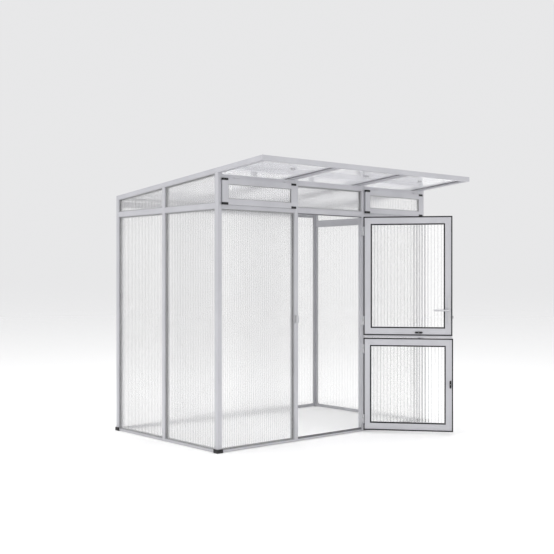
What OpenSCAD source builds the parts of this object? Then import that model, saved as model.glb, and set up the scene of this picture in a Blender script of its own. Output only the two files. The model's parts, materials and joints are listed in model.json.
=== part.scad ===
// Lean-to garden cabin: an aluminium frame glazed with fluted clear sheets, under a
// single-pitch roof that reaches out over the front. The middle front bay holds a stable
// door in two leaves, and the outer front bays hold a top-hung vent above the transom.
// Origin: centre of the footprint on the ground. +X to the right, front wall towards -Y.

/* [Cabin] */
// Outer width over the corner posts
cabin_w = 2400; // [2000:10:3000]
// Outer depth over the corner posts, without the roof overhang
cabin_d = 1460; // [1200:10:2400]
// Width and depth of every post
post_w = 40; // [34:1:60]
// Wall of the hollow posts and rafters
post_wall = 2; // [1.5:0.5:3]
// Ground to the underside of the posts and base rails
ground_gap = 5; // [3:1:10]
// Height of the base rails
base_rail_h = 14; // [12:1:30]
// Ground to the underside of the transoms
transom_z = 1868; // [1780:1:2000]
// Height of the transoms
transom_h = 44; // [30:1:60]
// Clear height of the front lights above the transom
light_h = 180; // [150:1:260]
// Height of the top rails
header_h = 42; // [30:1:50]

/* [Roof] */
// Slope of the roof, falling to the rear
roof_pitch = 5; // [3:0.5:8]
// Vertical gap between the front top rail and the rafters at the front face
rafter_gap = 8; // [6:1:16]
// Depth of the rafters across the slope
rafter_h = 40; // [36:1:60]
// Reach of the roof in front of the front wall
overhang = 524; // [200:1:700]
// Thickness of the fascia and of the rear edge trim
fascia_t = 18; // [10:1:30]
// Rise of the roof sheets above the underside of the rafters
roof_sheet_rise = 15; // [10:1:20]

/* [Glazing] */
// Thickness of the fluted wall, roof and door sheets
sheet_t = 10; // [6:1:10]
// Thickness of the fluted vent sheets
vent_sheet_t = 6; // [4:1:8]
// Target width of one flute in the walls, roof and vents
flute_w = 22; // [16:1:40]
// Target width of one flute in the door
door_flute_w = 29; // [16:1:40]
// Skin and rib thickness of the sheets
skin_t = 1; // [0.6:0.1:1.5]
// Face width of the glazing gaskets
gasket_face = 5; // [5:1:14]
// Rubber between a sheet's edge and its frame
gasket_edge = 2; // [1.5:0.5:3]
// Rubber lip in front of and behind a sheet
gasket_lip = 2; // [1:0.5:2]
// Setback of the wall gaskets from the outer face of the frame
glaze_setback = 10; // [4:1:12]
// Width of the glazing beads
bead_w = 12; // [8:1:20]
// Depth of the glazing beads
bead_t = 14; // [8:1:14]

/* [Vents] */
// Overlap of a vent on the rails above and below it
vent_lap_z = 12; // [6:1:16]
// Overlap of a vent on the posts beside it
vent_lap_x = 5; // [3:1:10]
// Thickness of the vent frames
vent_t = 14; // [12:1:20]
// Width of the vent stiles
vent_stile_w = 55; // [40:1:70]
// Height of the vent rails
vent_rail_h = 45; // [30:1:55]
// Height of the end caps of the vent stiles
vent_cap_h = 18; // [10:1:25]
// Thickness of the seal behind a vent
vent_seal_t = 3; // [2:0.5:4]
// Radius of the vent hinge knuckles
vent_knuckle_r = 4; // [3.5:0.5:6]
// Length of one vent hinge knuckle
vent_knuckle_l = 26; // [15:1:40]

/* [Door leaves] */
// Turn of both leaves from closed, as the cabin stands
door_open = 129.5; // [0:0.5:160]
// Thickness of the leaves
leaf_t = 18; // [16:1:24]
// Face width of the stiles and rails of the leaves
leaf_rail_w = 62; // [56:1:70]
// Wall of the hollow stiles and rails of the leaves
leaf_wall = 1.6; // [1.2:0.2:2]
// Overlap of the upper leaf on its posts
upper_lap = 6; // [5:1:10]
// Overlap of the lower leaf on its posts
lower_lap = 12; // [6:1:14]
// Ground to the underside of the lower leaf
lower_z = 20; // [12:1:30]
// Height of the lower leaf
lower_h = 798; // [600:1:900]
// Gap between the two leaves
meeting_gap = 23; // [16:1:30]
// Clearance between the upper leaf and the transom
head_gap = 2; // [1:1:4]
// Thickness of the perimeter seals
seal_t = 4; // [3:0.5:6]
// Face width of the perimeter seals
seal_w = 10; // [8:1:18]
// Face width of the door glazing gaskets
door_gasket_face = 11; // [8:1:14]
// Height of the stop on the threshold
stop_rise = 16; // [12:1:24]
// Height of the stop under the transom
stop_drop = 8; // [6:1:16]
// Thickness of the door stops
stop_t = 12; // [8:1:20]
// Depth of the strip under the upper leaf
strip_h = 18; // [10:1:18]

/* [Door hinges] */
// Hinge axis to the edge of the doorway
hinge_out = 4; // [3:0.5:5]
// Radius of the knuckles
knuckle_r = 6; // [5:0.5:8]
// Height of one knuckle
knuckle_l = 37; // [25:1:50]
// Radius of the hinge pins
pin_r = 3; // [2:0.5:3.5]
// Hinge centre to the end of the upper leaf
upper_hinge_end = 125; // [90:1:200]
// Hinge centre to the end of the lower leaf
lower_hinge_end = 96; // [80:1:200]

/* [Lock and catches] */
// Lever axis to the free edge of the upper leaf
lever_inset = 27; // [25:1:30]
// Lever axis to the bottom of the upper leaf
lever_rise = 218; // [150:1:400]
// Length of the lever
lever_l = 122; // [90:1:140]
// Radius of the lever bar
lever_r = 7; // [6:0.5:9]
// Reach of the lever bar from its plate
lever_reach = 32; // [25:1:45]
// Radius of the spindle
spindle_r = 4; // [3:0.5:4]
// Width of the handle plates
plate_w = 23; // [18:1:23]
// Height of the handle plates
plate_h = 220; // [160:1:240]
// Thickness of the handle plates
plate_t = 7; // [4:1:9]
// Lever axis down to the latch bolt
bolt_drop = 58; // [40:1:80]
// Throw of the latch bolt beyond the edge of the leaf
bolt_throw = 10; // [6:1:12]
// Height of the latch bolt
bolt_h = 26; // [16:1:32]
// Length of the black grips of the turn catches
catch_l = 66; // [40:1:70]
// Width of the black grips of the turn catches
catch_w = 16; // [10:1:16]
// Upper catch to the bottom of the upper leaf
upper_catch_rise = 26; // [24:1:32]
// Upper catch to the hinge edge of the upper leaf
upper_catch_in = 474; // [200:1:560]
// Lower catch to the ground
lower_catch_z = 430; // [150:1:600]
// Lower catch to the free edge of the lower leaf
lower_catch_inset = 23; // [23:1:30]

/* [Feet] */
// Width of the foot pads
foot_w = 55; // [48:1:90]
// Height of the foot pads
foot_h = 30; // [20:1:60]

/* [Hidden] */
$fn = 48;
far = 10000;

// Clearances
run_gap = 0.3;      // between faces of pieces that move past each other
fit_gap = 0.05;     // round a rubber in its frame, and round a sheet in its rubber
pin_gap = 0.05;     // radial, between a pin and its knuckle
hinge_gap = 1;      // between a knuckle and the pocket around it
joint_gap = 0.2;    // hairline at the corner joints of the leaves and vents

// Plan of the frame: four posts across the front and the rear, three along each side
front_bays = 3;
side_bays = 2;
x0 = -cabin_w / 2;
x1 = cabin_w / 2;
y0 = -cabin_d / 2;
y1 = cabin_d / 2;
bay_w = (cabin_w - (front_bays + 1) * post_w) / front_bays;
side_bay_w = (cabin_d - (side_bays + 1) * post_w) / side_bays;
function post_x(i) = x0 + i * (bay_w + post_w);
function post_y(i) = y0 + i * (side_bay_w + post_w);
function bay_x(i) = post_x(i) + post_w;
function bay_y(i) = post_y(i) + post_w;

// Heights
base_top = ground_gap + base_rail_h;
transom_top = transom_z + transom_h;
header_z = transom_top + light_h;
eave_z = header_z + header_h + rafter_gap;
function under(y) = eave_z - (y - y0) * tan(roof_pitch);
rise = rafter_h / cos(roof_pitch);
rear_header_z = under(y1) - rafter_gap - header_h;
roof_front = y0 - overhang;

// Glazing build-up, from the outer face of the frame inwards
gasket_t = sheet_t + 2 * gasket_lip;
bead_in = glaze_setback + gasket_t;

// Door
door_x0 = bay_x(1);
door_x1 = door_x0 + bay_w;
leaf_in = y0 - seal_t - run_gap;
leaf_out = leaf_in - leaf_t;
leaf_mid = (leaf_in + leaf_out) / 2;
upper_z = lower_z + lower_h + meeting_gap;
upper_top = transom_z - head_gap;
upper_h = upper_top - upper_z;
hinge_x = door_x1 + hinge_out;
hinge_y = leaf_out;
upper_hinges = [upper_z + upper_hinge_end, upper_top - upper_hinge_end];
lower_hinges = [lower_z + lower_hinge_end, lower_z + lower_h - lower_hinge_end];
door_hinges = concat(upper_hinges, lower_hinges);
bracket_t = 3;
bracket_w = 30;
arm_t = 6;
hinge_plate_l = 44;
hinge_plate_t = 2.5;
door_gasket_t = min(sheet_t, leaf_t - 2 * leaf_wall - 2 * gasket_lip) + 2 * gasket_lip;
door_sheet_t = door_gasket_t - 2 * gasket_lip;
seal_past_axis = 2;   // reach of the lower leaf's seal past the hinge axis
stop_setback = 1;     // door stops behind the face of the frame
strip_t = 6;
strip_short = 16;     // strip clear of the hinges

// Lock
lever_x = door_x0 - upper_lap + lever_inset;
lever_z = upper_z + lever_rise;
bolt_z = lever_z - bolt_drop;
bolt_t = 8;
bolt_l = 40;
case_t = leaf_t - 2 * leaf_wall - 2 * run_gap;
case_w = 36;
case_wall = 1.5;
case_above = 40;
case_below = 90;
keeper_gap = 3;
keeper_wall = 2.5;
keeper_h = 60;
keeper_in = 3;        // from the outer edge of its post
keeper_play = 1;      // between the bolt and the keeper's pocket
neck_r = plate_w / 2 - 2;

// Catches
grip_t = 6;
hub_r = 4.5;
tongue_t = 3;
tongue_w = 12;
tongue_lap = 9;
tongue_l = upper_catch_rise + meeting_gap + tongue_lap;
tongue_y = leaf_in + seal_t + run_gap;
upper_catch_x = door_x1 + upper_lap - upper_catch_in;
upper_catch_z = upper_z + upper_catch_rise;
lower_catch_x = door_x0 - lower_lap + lower_catch_inset;
catch_gap = 1.5;
catch_behind = y0 + post_w + catch_gap;

// Vents
vent_w = bay_w + 2 * vent_lap_x;
vent_z = transom_top - vent_lap_z;
vent_h = light_h + 2 * vent_lap_z;
vent_top = vent_z + vent_h;
vent_axis_up = 1.5;   // knuckles above the vent
vent_axis_out = 2.5;  // knuckles in front of the frame
vent_in = y0 - vent_seal_t - run_gap;
vent_axis_z = vent_top + vent_knuckle_r + vent_axis_up;
vent_axis_y = y0 - vent_knuckle_r - vent_axis_out;
vent_pin_r = 2;
vent_plate_t = 1.5;
vent_hinge_in = 120;
vent_knuckle_gap = 0.5;
vent_plate_in = 1;    // behind the outer face of the vent
vent_plate_drop = 2;  // below the top of the top rail
vent_seal_past = 8;   // reach of the seal into the opening

// Outlines on a wall: [across, up] points, counter-clockwise
function box_outline(u, w, z, top) = [[u, z], [u + w, z], [u + w, top], [u, top]];
function unit(v) = v / norm(v);
function side_normal(a, b) = let (e = unit(b - a)) [-e.y, e.x];
function inset_corner(p, i, d) =
    let (n = len(p), before = side_normal(p[(i + n - 1) % n], p[i]),
         after = side_normal(p[i], p[(i + 1) % n]))
    p[i] + (before + after) * d / (1 + before * after);
function inset(p, d) = [for (i = [0 : len(p) - 1]) inset_corner(p, i, d)];

function front_pane(i) = box_outline(bay_x(i), bay_w, base_top, transom_z);
function front_light() = box_outline(bay_x(1), bay_w, transom_top, header_z);
function rear_pane(i) = box_outline(bay_x(i), bay_w, base_top, rear_header_z);
function side_pane(i) = box_outline(bay_y(i), side_bay_w, base_top, transom_z);
function side_light(i) =
    let (a = bay_y(i), b = a + side_bay_w)
    [[a, transom_top], [b, transom_top], [b, under(b)], [a, under(a)]];

// Stand an outline up in a wall, its outer face a given depth behind the frame's face
module in_wall(wall, depth, t) {
    if (wall == "front") translate([0, y0 + depth + t, 0]) rotate([90, 0, 0]) linear_extrude(t) children();
    if (wall == "rear") translate([0, y1 - depth, 0]) rotate([90, 0, 0]) linear_extrude(t) children();
    if (wall == "left") translate([x0 + depth, 0, 0]) rotate([90, 0, 90]) linear_extrude(t) children();
    if (wall == "right") translate([x1 - depth - t, 0, 0]) rotate([90, 0, 90]) linear_extrude(t) children();
}

// Box from its lowest corner to its highest corner
module block(a, b) {
    translate(a) cube(b - a);
}

// Hollow bar along one axis: wall is cut out of the two other directions
module tube_bar(a, b, along, wall) {
    cut = [for (i = [0 : 2]) i == along ? -1 : wall];
    difference() {
        block(a, b);
        block(a + cut, b - cut);
    }
}

// Upright post whose top follows the roof
module post(x, y) {
    module shape(cut) {
        translate([x + cut, 0, 0]) rotate([90, 0, 90]) linear_extrude(post_w - 2 * cut)
            polygon([
                [y + cut, ground_gap - (cut > 0 ? 1 : 0)],
                [y + post_w - cut, ground_gap - (cut > 0 ? 1 : 0)],
                [y + post_w - cut, under(y + post_w - cut) + (cut > 0 ? post_w : 0)],
                [y + cut, under(y + cut) + (cut > 0 ? post_w : 0)]
            ]);
    }
    color("gainsboro") difference() {
        shape(0);
        shape(post_wall);
    }
}

// Sloping bar between two distances from the front, from one height above the rafters'
// underside to another
module sloped(x, w, ya, yb, low, high) {
    translate([x, 0, 0]) rotate([90, 0, 90]) linear_extrude(w)
        polygon([
            [ya, under(ya) + low], [yb, under(yb) + low],
            [yb, under(yb) + high], [ya, under(ya) + high]
        ]);
}

// Cross-section of a fluted sheet: two skins joined by ribs
module flute_section(w, t, target) {
    count = round(w / target);
    cell = (w - skin_t) / count;
    difference() {
        square([w, t]);
        for (i = [0 : count - 1])
            translate([skin_t + i * cell, skin_t]) square([cell - skin_t, t - 2 * skin_t]);
    }
}

// Upright fluted sheet in the plane of a wall, cut to an outline of four corners
module wall_sheet(wall, outline, depth, t, target) {
    p = inset(outline, gasket_edge);
    u = p[0].x;
    w = p[1].x - p[0].x;
    z = p[0].y;
    high = max(p[2].y, p[3].y);
    level = p[2].y == p[3].y;
    module tall() {
        h = high - z + (level ? 0 : 1);
        if (wall == "front")
            translate([u, y0 + depth, z]) linear_extrude(h) flute_section(w, t, target);
        if (wall == "rear")
            translate([u, y1 - depth - t, z]) linear_extrude(h) flute_section(w, t, target);
        if (wall == "left")
            translate([x0 + depth + t, u, z]) rotate([0, 0, 90]) linear_extrude(h)
                flute_section(w, t, target);
        if (wall == "right")
            translate([x1 - depth, u, z]) rotate([0, 0, 90]) linear_extrude(h)
                flute_section(w, t, target);
    }
    color("aliceblue", 0.4)
        if (level) tall();
        else intersection() {
            tall();
            in_wall(wall, depth - 1, t + 2) polygon(p);
        }
}

// Groove of a rubber frame round a sheet's edge
module sheet_groove(wall, outline, depth, t) {
    in_wall(wall, depth - fit_gap, t + 2 * fit_gap)
        polygon(inset(outline, gasket_edge - fit_gap));
}

// Rubber frame round a sheet, with a groove that holds the sheet's edge
module wall_gasket(wall, outline) {
    color("dimgray") difference() {
        in_wall(wall, glaze_setback, gasket_t) difference() {
            polygon(inset(outline, fit_gap));
            polygon(inset(outline, gasket_face));
        }
        sheet_groove(wall, outline, glaze_setback + gasket_lip, sheet_t);
    }
}

// Four mitred strips that hold a gasket from the inside
module wall_bead(wall, outline) {
    p = inset(outline, fit_gap);
    q = inset(outline, bead_w);
    n = len(outline);
    color("gainsboro") in_wall(wall, bead_in, bead_t)
        for (i = [0 : n - 1])
            polygon([p[i], p[(i + 1) % n], q[(i + 1) % n], q[i]]);
}

// ---- Frame ----

module foot_pads() {
    lip = (foot_w - post_w) / 2;
    module corner(mx, my) {
        mirror([mx, 0, 0]) mirror([0, my, 0]) difference() {
            block([x0 - lip, y0 - lip, 0], [x0 + post_w + lip, y0 + post_w + lip, foot_h]);
            block([x0, y0, ground_gap], [x0 + far, y0 + far, far]);
        }
    }
    color("#222222") for (mx = [0, 1], my = [0, 1]) corner(mx, my);
}

module front_left_post() { post(x0, y0); }
module front_right_post() { post(post_x(front_bays), y0); }
module rear_left_post() { post(x0, post_y(side_bays)); }
module rear_right_post() { post(post_x(front_bays), post_y(side_bays)); }
module door_post_left() { post(post_x(1), y0); }
module door_post_right() { post(post_x(2), y0); }
module side_posts() {
    for (x = [x0, post_x(front_bays)]) post(x, post_y(1));
}
module rear_posts() {
    for (i = [1 : front_bays - 1]) post(post_x(i), post_y(side_bays));
}

// Rail of a front or rear bay
module cross_rail(i, y, z, h) {
    color("gainsboro") tube_bar([bay_x(i), y, z], [bay_x(i) + bay_w, y + post_w, z + h], 0, post_wall);
}

// Rails of both sides at one height
module side_rails(z, h) {
    color("gainsboro") for (x = [x0, post_x(front_bays)], i = [0 : side_bays - 1])
        tube_bar([x, bay_y(i), z], [x + post_w, bay_y(i) + side_bay_w, z + h], 1, post_wall);
}

module front_base_rails() {
    for (i = [0, 2]) cross_rail(i, y0, ground_gap, base_rail_h);
}
module side_base_rails() { side_rails(ground_gap, base_rail_h); }
module rear_base_rails() {
    for (i = [0 : front_bays - 1]) cross_rail(i, post_y(side_bays), ground_gap, base_rail_h);
}
module threshold() { cross_rail(1, y0, ground_gap, base_rail_h); }

// Stops that the two leaves close against, on the threshold and under the transom
module door_stops() {
    color("gray") {
        y = y0 + stop_setback;
        block([door_x0, y, base_top], [door_x1, y + stop_t, base_top + stop_rise]);
        block([door_x0, y, transom_z - stop_drop], [door_x1, y + stop_t, transom_z]);
    }
}

module front_transoms() {
    for (i = [0 : front_bays - 1]) cross_rail(i, y0, transom_z, transom_h);
}
module side_transoms() { side_rails(transom_z, transom_h); }
module front_headers() {
    for (i = [0 : front_bays - 1]) cross_rail(i, y0, header_z, header_h);
}
module rear_headers() {
    for (i = [0 : front_bays - 1]) cross_rail(i, post_y(side_bays), rear_header_z, header_h);
}

// ---- Roof ----

module rafter(x) {
    ya = roof_front + fascia_t;
    yb = y1 - fascia_t;
    wall = post_wall / cos(roof_pitch);
    color("lightgray") difference() {
        sloped(x, post_w, ya, yb, 0, rise);
        sloped(x + post_wall, post_w - 2 * post_wall, ya - 1, yb + 1, wall, rise - wall);
    }
}
module edge_rafters() {
    for (i = [0, front_bays]) rafter(post_x(i));
}
module inner_rafters() {
    for (i = [1 : front_bays - 1]) rafter(post_x(i));
}
module fascia() {
    color("lightgray") sloped(x0, cabin_w, roof_front, roof_front + fascia_t, 0, rise);
}
module rear_edge_trim() {
    color("lightgray") sloped(x0, cabin_w, y1 - fascia_t, y1, 0, rise);
}

// Lie a sheet or frame down on the slope: [across, along the slope] in a bay of the roof
roof_l = (cabin_d + overhang - 2 * fascia_t) / cos(roof_pitch);
module on_slope(i, up) {
    translate([bay_x(i), roof_front + fascia_t, under(roof_front + fascia_t)])
        rotate([-roof_pitch, 0, 0]) translate([0, 0, up]) children();
}
module roof_glazing() {
    // the sheet ends are square to the slope, so they stop short of the upright trims
    end = gasket_edge + (roof_sheet_rise + gasket_t) * tan(roof_pitch);
    w = bay_w - 2 * gasket_edge;
    color("aliceblue", 0.4) for (i = [0 : front_bays - 1])
        on_slope(i, roof_sheet_rise + gasket_lip)
            translate([gasket_edge, roof_l - end, 0]) rotate([90, 0, 0])
                linear_extrude(roof_l - 2 * end) flute_section(w, sheet_t, flute_w);
}
module roof_gaskets() {
    end = (roof_sheet_rise + gasket_t) * tan(roof_pitch);
    inner = box_outline(0, bay_w, end, roof_l - end);
    color("dimgray") for (i = [0 : front_bays - 1]) on_slope(i, roof_sheet_rise) difference() {
        linear_extrude(gasket_t) difference() {
            polygon(inset(inner, fit_gap));
            polygon(inset(inner, gasket_face));
        }
        translate([0, 0, gasket_lip - fit_gap]) linear_extrude(sheet_t + 2 * fit_gap)
            polygon(inset(inner, gasket_edge - fit_gap));
    }
}

// ---- Wall glazing ----

module front_glazing() {
    depth = glaze_setback + gasket_lip;
    for (i = [0, 2]) wall_sheet("front", front_pane(i), depth, sheet_t, flute_w);
    wall_sheet("front", front_light(), depth, sheet_t, flute_w);
}
module side_glazing(wall) {
    depth = glaze_setback + gasket_lip;
    for (i = [0 : side_bays - 1]) {
        wall_sheet(wall, side_pane(i), depth, sheet_t, flute_w);
        wall_sheet(wall, side_light(i), depth, sheet_t, flute_w);
    }
}
module left_glazing() { side_glazing("left"); }
module right_glazing() { side_glazing("right"); }
module rear_glazing() {
    for (i = [0 : front_bays - 1])
        wall_sheet("rear", rear_pane(i), glaze_setback + gasket_lip, sheet_t, flute_w);
}
module wall_gaskets() {
    for (i = [0, 2]) wall_gasket("front", front_pane(i));
    wall_gasket("front", front_light());
    for (wall = ["left", "right"], i = [0 : side_bays - 1]) {
        wall_gasket(wall, side_pane(i));
        wall_gasket(wall, side_light(i));
    }
    for (i = [0 : front_bays - 1]) wall_gasket("rear", rear_pane(i));
}
module glazing_beads() {
    for (i = [0, 2]) wall_bead("front", front_pane(i));
    wall_bead("front", front_light());
    for (wall = ["left", "right"], i = [0 : side_bays - 1]) {
        wall_bead(wall, side_pane(i));
        wall_bead(wall, side_light(i));
    }
    for (i = [0 : front_bays - 1]) wall_bead("rear", rear_pane(i));
}

// ---- Vents ----

// Hollow bar of a vent on its outline: from one [x, z] corner to the opposite one
module vent_bar(a, b, along) {
    tube_bar([a.x, vent_in - vent_t, a.y], [b.x, vent_in, b.y], along, leaf_wall);
}
function vent_x(i) = bay_x(i) - vent_lap_x;
function vent_hinge_xs(i) = [vent_x(i) + vent_hinge_in, vent_x(i) + vent_w - vent_hinge_in];

module vent_frame(i) {
    x = vent_x(i);
    right = x + vent_w;
    color("gainsboro") {
        for (s = [x, right - vent_stile_w])
            vent_bar([s, vent_z + vent_cap_h], [s + vent_stile_w, vent_top - vent_cap_h], 2);
        for (z = [vent_z, vent_top - vent_rail_h])
            vent_bar([x + vent_stile_w + joint_gap, z],
                     [right - vent_stile_w - joint_gap, z + vent_rail_h], 0);
        for (h = vent_hinge_xs(i)) vent_knuckle(h);
    }
}
// Moving half of a vent hinge, screwed to the top edge of the vent
module vent_knuckle(x) {
    difference() {
        union() {
            translate([x, vent_axis_y, vent_axis_z]) rotate([0, 90, 0])
                cylinder(r = vent_knuckle_r, h = vent_knuckle_l);
            block([x, vent_axis_y - vent_plate_t, vent_top + vent_plate_t],
                  [x + vent_knuckle_l, vent_axis_y, vent_axis_z]);
            block([x, vent_in - vent_t + vent_plate_in, vent_top],
                  [x + vent_knuckle_l, vent_in, vent_top + vent_plate_t]);
        }
        translate([x - 1, vent_axis_y, vent_axis_z]) rotate([0, 90, 0])
            cylinder(r = vent_pin_r + pin_gap, h = vent_knuckle_l + 2);
    }
}
function vent_opening(i) =
    box_outline(vent_x(i) + vent_stile_w, vent_w - 2 * vent_stile_w,
                vent_z + vent_rail_h, vent_top - vent_rail_h);
// Depth of a vent's gasket, counted from the outer face of the cabin's frame
vent_gasket_t = vent_sheet_t + 2 * gasket_lip;
vent_gasket_in = -(vent_seal_t + run_gap) - (vent_t + vent_gasket_t) / 2;

module vent_glazing(i) {
    wall_sheet("front", vent_opening(i), vent_gasket_in + gasket_lip, vent_sheet_t, flute_w);
}
module vent_gaskets(i) {
    o = vent_opening(i);
    edge = box_outline(vent_x(i), vent_w, vent_z, vent_top);
    color("dimgray") {
        difference() {
            in_wall("front", vent_gasket_in, vent_gasket_t) difference() {
                polygon(inset(o, fit_gap));
                polygon(inset(o, gasket_face));
            }
            sheet_groove("front", o, vent_gasket_in + gasket_lip, vent_sheet_t);
        }
        in_wall("front", -vent_seal_t - run_gap, vent_seal_t) difference() {
            polygon(edge);
            polygon(inset(edge, vent_lap_z + vent_seal_past));
        }
    }
}
module vent_caps(i) {
    color("#222222")
        for (s = [vent_x(i), vent_x(i) + vent_w - vent_stile_w], z = [vent_z, vent_top - vent_cap_h])
            block([s, vent_in - vent_t, z], [s + vent_stile_w, vent_in, z + vent_cap_h]);
}
// Fixed halves of the vent hinges: a plate on the top rail, a knuckle and its pin
module vent_hinge_brackets() {
    color("silver") for (i = [0, 2], h = vent_hinge_xs(i)) {
        x = h + vent_knuckle_l + vent_knuckle_gap;
        translate([x, vent_axis_y, vent_axis_z]) rotate([0, 90, 0])
            cylinder(r = vent_knuckle_r, h = vent_knuckle_l);
        translate([h, vent_axis_y, vent_axis_z]) rotate([0, 90, 0])
            cylinder(r = vent_pin_r, h = vent_knuckle_l + 1);
        block([x, vent_axis_y, vent_axis_z - vent_plate_t],
              [x + vent_knuckle_l, y0, vent_axis_z + vent_plate_t]);
        block([x, y0 - vent_plate_t, vent_axis_z - vent_plate_t],
              [x + vent_knuckle_l, y0, header_z + header_h - vent_plate_drop]);
    }
}
module left_vent_frame() { vent_frame(0); }
module left_vent_glazing() { vent_glazing(0); }
module left_vent_gaskets() { vent_gaskets(0); }
module left_vent_caps() { vent_caps(0); }
module right_vent_frame() { vent_frame(2); }
module right_vent_glazing() { vent_glazing(2); }
module right_vent_gaskets() { vent_gaskets(2); }
module right_vent_caps() { vent_caps(2); }

// ---- Door leaves: drawn closed, then turned about the hinge axis ----

module turned() {
    translate([hinge_x, hinge_y, 0]) rotate([0, 0, door_open])
        translate([-hinge_x, -hinge_y, 0]) children();
}
// Room in a leaf's hinge edge for the knuckles and brackets of its hinges
module hinge_pockets(hinges) {
    for (z = hinges)
        block([hinge_x - knuckle_r - hinge_gap, leaf_out - far, z - knuckle_l - 2 * hinge_gap],
              [hinge_x + far, y0, z + knuckle_l + 2 * hinge_gap]);
}
module leaf_frame(lap, z, top, hinges) {
    a = door_x0 - lap;
    b = door_x1 + lap;
    color("gainsboro") {
        tube_bar([a, leaf_out, z], [a + leaf_rail_w, leaf_in, top], 2, leaf_wall);
        difference() {
            tube_bar([b - leaf_rail_w, leaf_out, z], [b, leaf_in, top], 2, leaf_wall);
            hinge_pockets(hinges);
        }
        for (r = [z, top - leaf_rail_w])
            tube_bar([a + leaf_rail_w + joint_gap, leaf_out, r],
                     [b - leaf_rail_w - joint_gap, leaf_in, r + leaf_rail_w], 0, leaf_wall);
    }
}
function leaf_opening(lap, z, top) =
    box_outline(door_x0 - lap + leaf_rail_w, bay_w + 2 * lap - 2 * leaf_rail_w,
                z + leaf_rail_w, top - leaf_rail_w);
// Depth of a leaf's gasket, counted from the outer face of the cabin's frame
leaf_gasket_in = leaf_mid - y0 - door_gasket_t / 2;

module leaf_sheet(outline) {
    wall_sheet("front", outline, leaf_gasket_in + gasket_lip, door_sheet_t, door_flute_w);
}
module leaf_gasket(outline) {
    color("#222222") difference() {
        in_wall("front", leaf_gasket_in, door_gasket_t) difference() {
            polygon(inset(outline, fit_gap));
            polygon(inset(outline, door_gasket_face));
        }
        sheet_groove("front", outline, leaf_gasket_in + gasket_lip, door_sheet_t);
    }
}
module leaf_seal(lap, z, top, hinges) {
    // beside the hinges it stops just past their axis, so that it turns clear of the post
    hinge_lap = min(lap, hinge_out + seal_past_axis);
    edge = box_outline(door_x0 - lap, bay_w + lap + hinge_lap, z, top);
    color("#222222") difference() {
        in_wall("front", leaf_in - y0, seal_t) difference() {
            polygon(edge);
            polygon(inset(edge, seal_w));
        }
        hinge_pockets(hinges);
    }
}
// Moving half of a door hinge: a plate on the outer face of the stile and a bored knuckle
module leaf_hinge(z) {
    low = z + run_gap;
    color("silver") difference() {
        union() {
            block([hinge_x - hinge_plate_l, leaf_out - hinge_plate_t, low],
                  [hinge_x, leaf_out, low + knuckle_l]);
            translate([hinge_x, hinge_y, low]) cylinder(r = knuckle_r, h = knuckle_l);
        }
        translate([hinge_x, hinge_y, low - 1]) cylinder(r = pin_r + pin_gap, h = knuckle_l + 2);
    }
}
// Fixed half of a door hinge: a plate on the post, an arm and a bored knuckle
module door_hinge_brackets() {
    color("silver") for (z = door_hinges) difference() {
        union() {
            translate([hinge_x, hinge_y, z - knuckle_l]) cylinder(r = knuckle_r, h = knuckle_l);
            block([hinge_x - arm_t / 2, hinge_y, z - knuckle_l], [hinge_x + arm_t / 2, y0, z]);
            block([hinge_x - arm_t / 2, y0 - bracket_t, z - knuckle_l],
                  [hinge_x - arm_t / 2 + bracket_w, y0, z + knuckle_l]);
        }
        translate([hinge_x, hinge_y, z - knuckle_l - 1])
            cylinder(r = pin_r + pin_gap, h = knuckle_l + 2);
    }
}
// Pins stand in the fixed knuckles on a head below
module door_hinge_pins() {
    head_t = 1;
    short = 2;
    color("silver") for (z = door_hinges) {
        translate([hinge_x, hinge_y, z - knuckle_l]) cylinder(r = pin_r, h = 2 * knuckle_l - short);
        translate([hinge_x, hinge_y, z - knuckle_l - head_t])
            cylinder(r = knuckle_r - 1, h = head_t);
    }
}

module upper_leaf_frame() {
    turned() difference() {
        leaf_frame(upper_lap, upper_z, upper_top, upper_hinges);
        color("gainsboro") {
            spindle_hole(leaf_out - 1, leaf_in + 1);
            bolt_slot(door_x0 - upper_lap - 1, leaf_wall + 2);
        }
    }
}
// Holes for the lever's spindle and for the latch bolt, in the free stile
module spindle_hole(ya, yb) {
    translate([lever_x, yb, lever_z]) rotate([90, 0, 0])
        cylinder(r = spindle_r + run_gap, h = yb - ya);
}
module bolt_slot(x, l) {
    block([x, leaf_mid - bolt_t / 2 - run_gap, bolt_z - bolt_h / 2 - run_gap],
          [x + l, leaf_mid + bolt_t / 2 + run_gap, bolt_z + bolt_h / 2 + run_gap]);
}
upper_opening = leaf_opening(upper_lap, upper_z, upper_top);
lower_opening = leaf_opening(lower_lap, lower_z, lower_z + lower_h);
module upper_leaf_glazing() { turned() leaf_sheet(upper_opening); }
module upper_leaf_gasket() { turned() leaf_gasket(upper_opening); }
module upper_leaf_seal() {
    turned() leaf_seal(upper_lap, upper_z, upper_top, upper_hinges);
}
module upper_leaf_hinges() {
    turned() for (z = upper_hinges) leaf_hinge(z);
}
// Strip that hangs from the upper leaf and closes the gap above the lower one
module meeting_strip() {
    color("whitesmoke") turned()
        block([door_x0 - upper_lap, leaf_mid - strip_t / 2, upper_z - strip_h],
              [door_x1 + upper_lap - strip_short, leaf_mid + strip_t / 2, upper_z]);
}

// ---- Lock ----

// Long plate with round ends on one face of the leaf
module handle_plate(y) {
    r = plate_w / 2;
    difference() {
        translate([0, y + plate_t, 0]) rotate([90, 0, 0]) linear_extrude(plate_t) union() {
            translate([lever_x - r, lever_z - plate_h / 2 + r]) square([plate_w, plate_h - plate_w]);
            for (s = [-1, 1]) translate([lever_x, lever_z + s * (plate_h / 2 - r)]) circle(r);
        }
        spindle_hole(y - 1, y + plate_t + 1);
    }
}
module handle_plates() {
    color("silver") turned() for (y = [leaf_in, leaf_out - plate_t]) handle_plate(y);
}
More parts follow.
